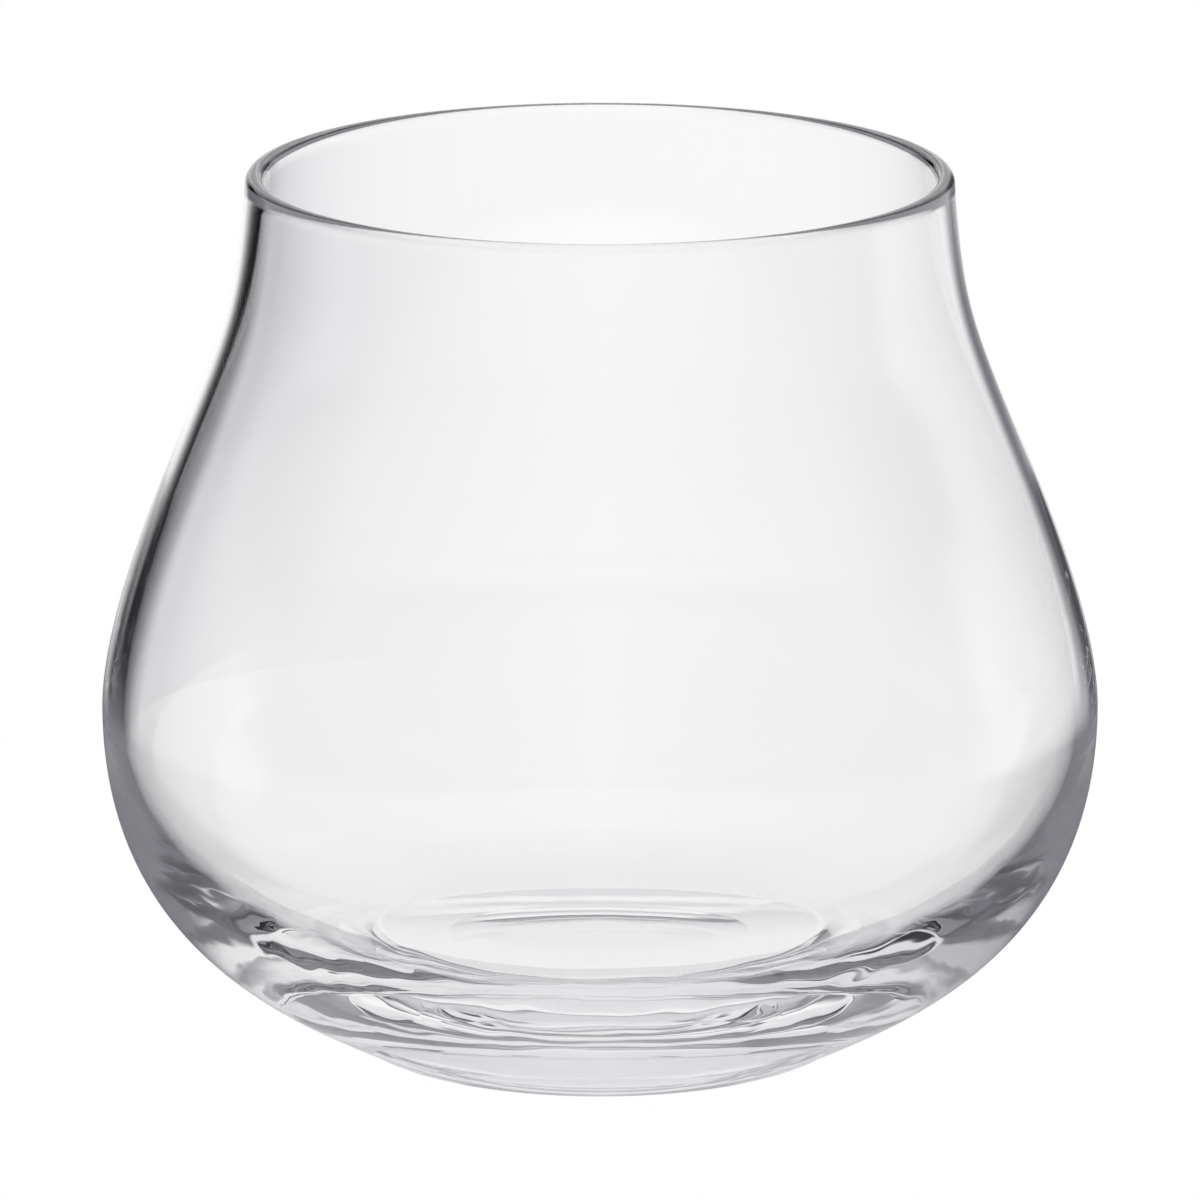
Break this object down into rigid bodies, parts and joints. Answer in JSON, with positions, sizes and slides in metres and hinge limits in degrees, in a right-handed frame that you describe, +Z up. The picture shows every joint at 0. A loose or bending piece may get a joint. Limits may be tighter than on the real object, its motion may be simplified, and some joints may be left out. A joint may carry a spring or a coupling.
{
  "type": "tumbler",
  "caption": "Stemless drinking tumbler of clear glass: heavy small foot, wide low belly, wall drawn in to a short neck with a rounded lip.",
  "frame": {"origin": "centre of the foot, on the surface that the tumbler stands on", "axes": "+Z up along the axis of revolution; the body is the same in every direction about it"},
  "size_m": [0.1, 0.1, 0.0884],
  "materials": {
    "clear_glass": "fire-polished, clear and colourless"
  },
  "bodies": {
    "root": {"tumbler_glass": "clear_glass"}
  },
  "joints": []
}
